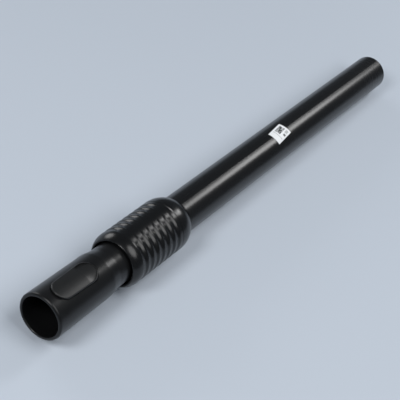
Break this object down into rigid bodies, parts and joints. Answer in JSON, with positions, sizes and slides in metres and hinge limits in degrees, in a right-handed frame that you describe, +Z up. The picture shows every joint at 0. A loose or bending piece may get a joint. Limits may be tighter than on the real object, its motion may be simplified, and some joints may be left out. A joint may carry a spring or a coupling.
{
  "type": "telescopic vacuum wand",
  "caption": "Telescopic suction wand: a steel tube slides inside a wider one, with a ribbed sliding lock sleeve and a socket with a rocker latch button for the hose handle.",
  "frame": {"origin": "on the tubes' axis where the socket's straight bore begins, just behind its rounded lip", "axes": "+X along the tubes to the plain far end, +Z up through the latch button, with the tubes pushed together"},
  "size_m": [0.54, 0.048, 0.048],
  "materials": {
    "powder_coat": "satin",
    "chrome_tube": "polished",
    "black_plastic": "satin",
    "sleeve_plastic": "gloss",
    "acetal": "matte",
    "felt": "matte",
    "spring_steel": "satin",
    "label_paper": "satin"
  },
  "bodies": {
    "outer_tube": {"outer_tube": "powder_coat", "guide_collar": "acetal", "wiper_ring": "felt", "stop_ring": "acetal", "tube_label": "label_paper", "return_spring": "spring_steel"},
    "inner_tube": {"inner_tube": "chrome_tube", "tube_coupling": "black_plastic", "end_guide": "acetal", "latch_spring": "spring_steel"},
    "latch_button": {"latch_button": "black_plastic"},
    "lock_sleeve": {"grip_sleeve": "sleeve_plastic", "sleeve_cap": "sleeve_plastic", "cam_ring": "acetal"},
    "lock_roller": {"lock_roller": "spring_steel"}
  },
  "joints": [
    {"name": "telescope", "type": "slide", "parent": "outer_tube", "child": "inner_tube", "axis": [-1, 0, 0], "range_m": [0, 0.336]},
    {"name": "sleeve_release", "type": "slide", "parent": "outer_tube", "child": "lock_sleeve", "axis": [1, 0, 0], "range_m": [0, 0.008], "stiffness_N_per_m": 600, "springref_m": -0.006, "deforming": ["return_spring"]},
    {"name": "roller_lift", "type": "slide", "parent": "outer_tube", "child": "lock_roller", "axis": [0, 0, -1], "range_m": [0, 0.0016]},
    {"name": "latch_press", "type": "hinge", "parent": "inner_tube", "child": "latch_button", "pos_m": [0.0291, 0, 0.0159], "axis": [0, -1, 0], "range_deg": [0, 4], "stiffness_Nm_per_rad": 0.6, "springref_deg": -2.86, "deforming": ["latch_spring"]}
  ],
  "couplings": [
    {"joint": "roller_lift", "follows": "sleeve_release", "ratio": 0.2}
  ]
}
